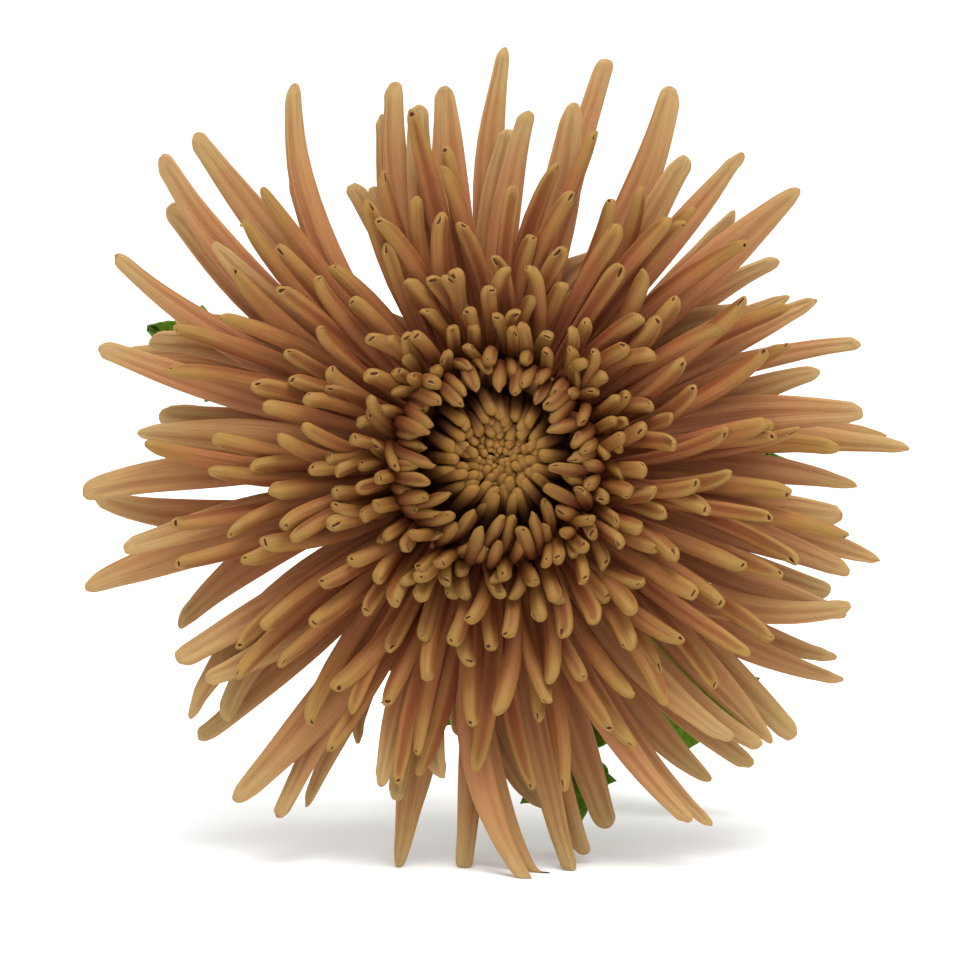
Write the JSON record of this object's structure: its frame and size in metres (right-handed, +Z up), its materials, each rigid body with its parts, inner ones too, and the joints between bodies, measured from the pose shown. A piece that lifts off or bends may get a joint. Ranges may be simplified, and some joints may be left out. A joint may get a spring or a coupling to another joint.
{
  "type": "cut flower, spider chrysanthemum",
  "caption": "Single cut spider chrysanthemum with bronze quilled ray florets, a closed heart of young florets, lobed green leaves and a bare stem, lying on its side.",
  "frame": {"origin": "on the surface it lies on, under the middle of its bounding box", "axes": "+Y along the stem from the bloom to the cut end, +Z up, the bloom looks towards -Y"},
  "size_m": [0.1284, 0.284, 0.1241],
  "materials": {
    "petal_bronze": "satin",
    "petal_olive": "satin",
    "bract_green": "matte",
    "stem_green": "satin",
    "leaf_green": "satin"
  },
  "bodies": {
    "root": {"ray_florets": "petal_bronze", "heart_florets": "petal_olive", "involucre": "bract_green", "stem": "stem_green", "leaf_1": "leaf_green", "leaf_2": "leaf_green", "leaf_3": "leaf_green", "leaf_4": "leaf_green", "leaf_5": "leaf_green", "leaf_6": "leaf_green"}
  },
  "joints": []
}
